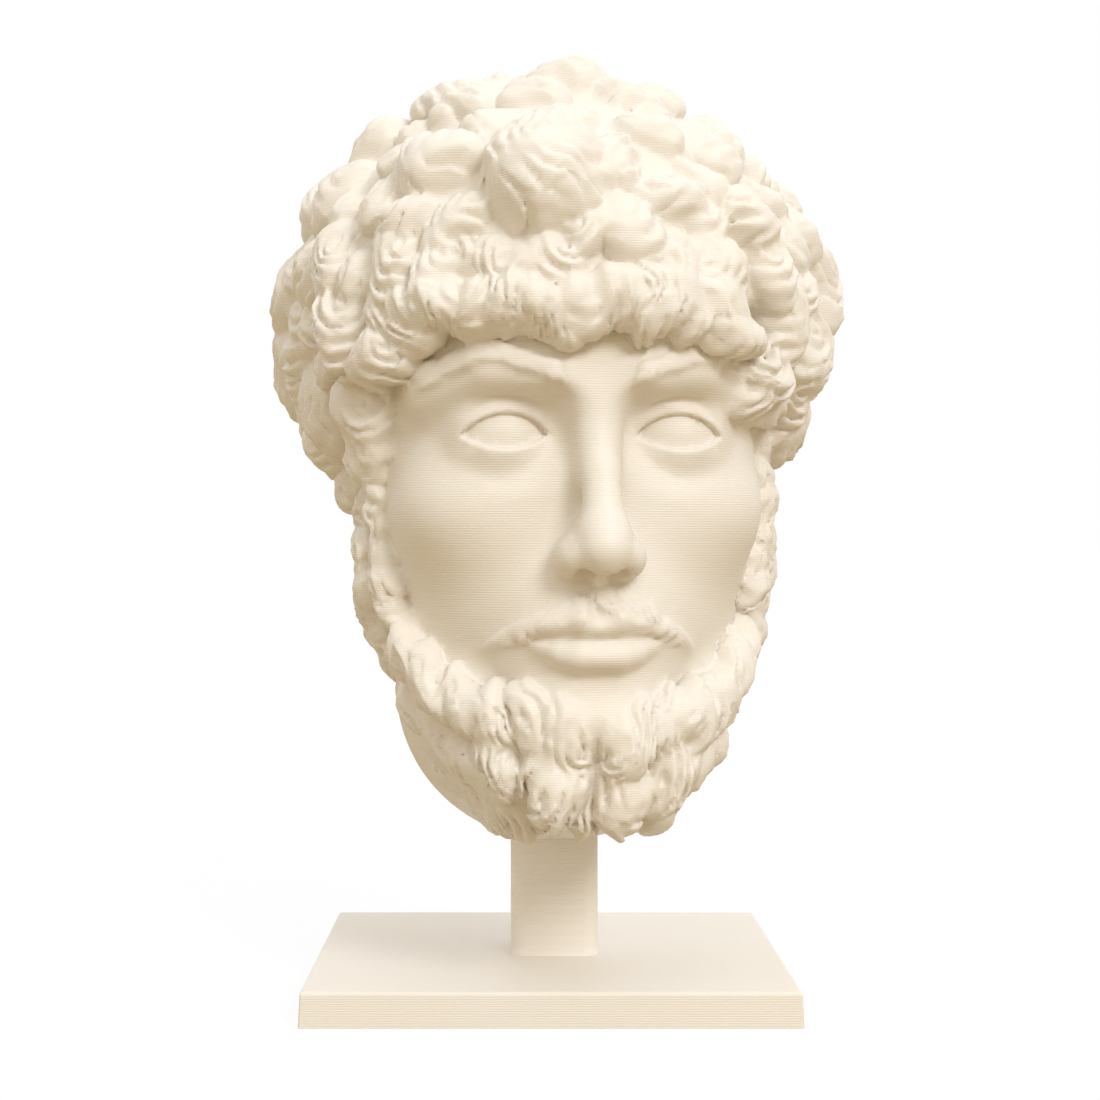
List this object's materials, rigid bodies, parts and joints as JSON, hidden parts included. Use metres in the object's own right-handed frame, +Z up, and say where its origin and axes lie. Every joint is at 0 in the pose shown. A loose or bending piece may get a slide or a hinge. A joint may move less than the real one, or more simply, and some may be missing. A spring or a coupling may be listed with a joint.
{
  "type": "portrait bust on stand",
  "caption": "Small printed display bust: bearded classical head with thick curly hair and a neck stump, on a short square post and a square base plate.",
  "frame": {"origin": "middle of the base plate's underside", "axes": "+Z up, plate edges along X and Y, front edge of the plate toward -Y; the head looks toward -Y, turned 8 degrees toward +X"},
  "size_m": [0.0517, 0.0589, 0.0824],
  "materials": {
    "head": "ivory printed plastic, satin, fine level layer lines",
    "post": "ivory printed plastic, satin, fine level layer lines",
    "base_plate": "ivory printed plastic, satin, layer lines on the sides and a flat top skin"
  },
  "bodies": {
    "root": {"head": "head", "post": "post", "base_plate": "base_plate"}
  },
  "joints": []
}
